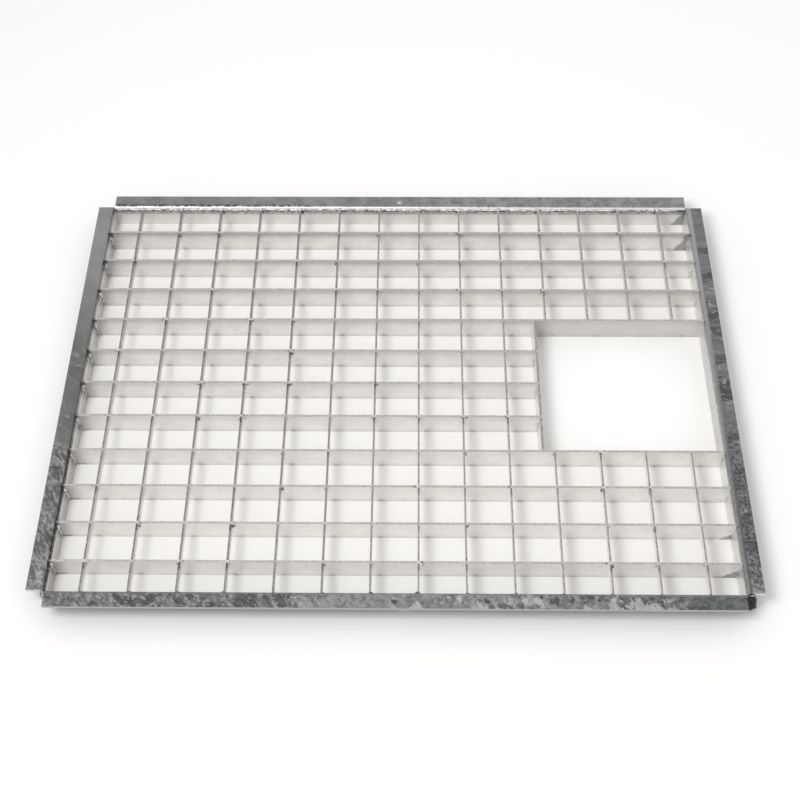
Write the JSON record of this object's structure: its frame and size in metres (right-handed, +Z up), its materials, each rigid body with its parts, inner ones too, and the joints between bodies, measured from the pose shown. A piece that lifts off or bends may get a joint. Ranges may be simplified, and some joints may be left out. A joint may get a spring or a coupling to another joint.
{
  "type": "steel grating panel",
  "caption": "Flat galvanised steel bar grating in a flanged angle frame, with a rectangular cut-out at one short edge and a fixing hole in each long flange.",
  "frame": {"origin": "middle of the frame's outline, on the plane that the bars and legs rest on", "axes": "+X along the load bars (the long side), towards the cut-out; +Y across the load bars; +Z up, out of the walking surface"},
  "size_m": [0.58, 0.428, 0.024],
  "materials": {
    "bar_zinc": "hot-dip galvanised, satin, light and even",
    "frame_zinc": "hot-dip galvanised, dull dark zinc with lighter streaks"
  },
  "bodies": {
    "root": {"grating": "bar_zinc", "cutout_trim_bar": "bar_zinc", "angle_far": "frame_zinc", "angle_near": "frame_zinc", "angle_left": "frame_zinc", "angle_right": "frame_zinc"}
  },
  "joints": []
}
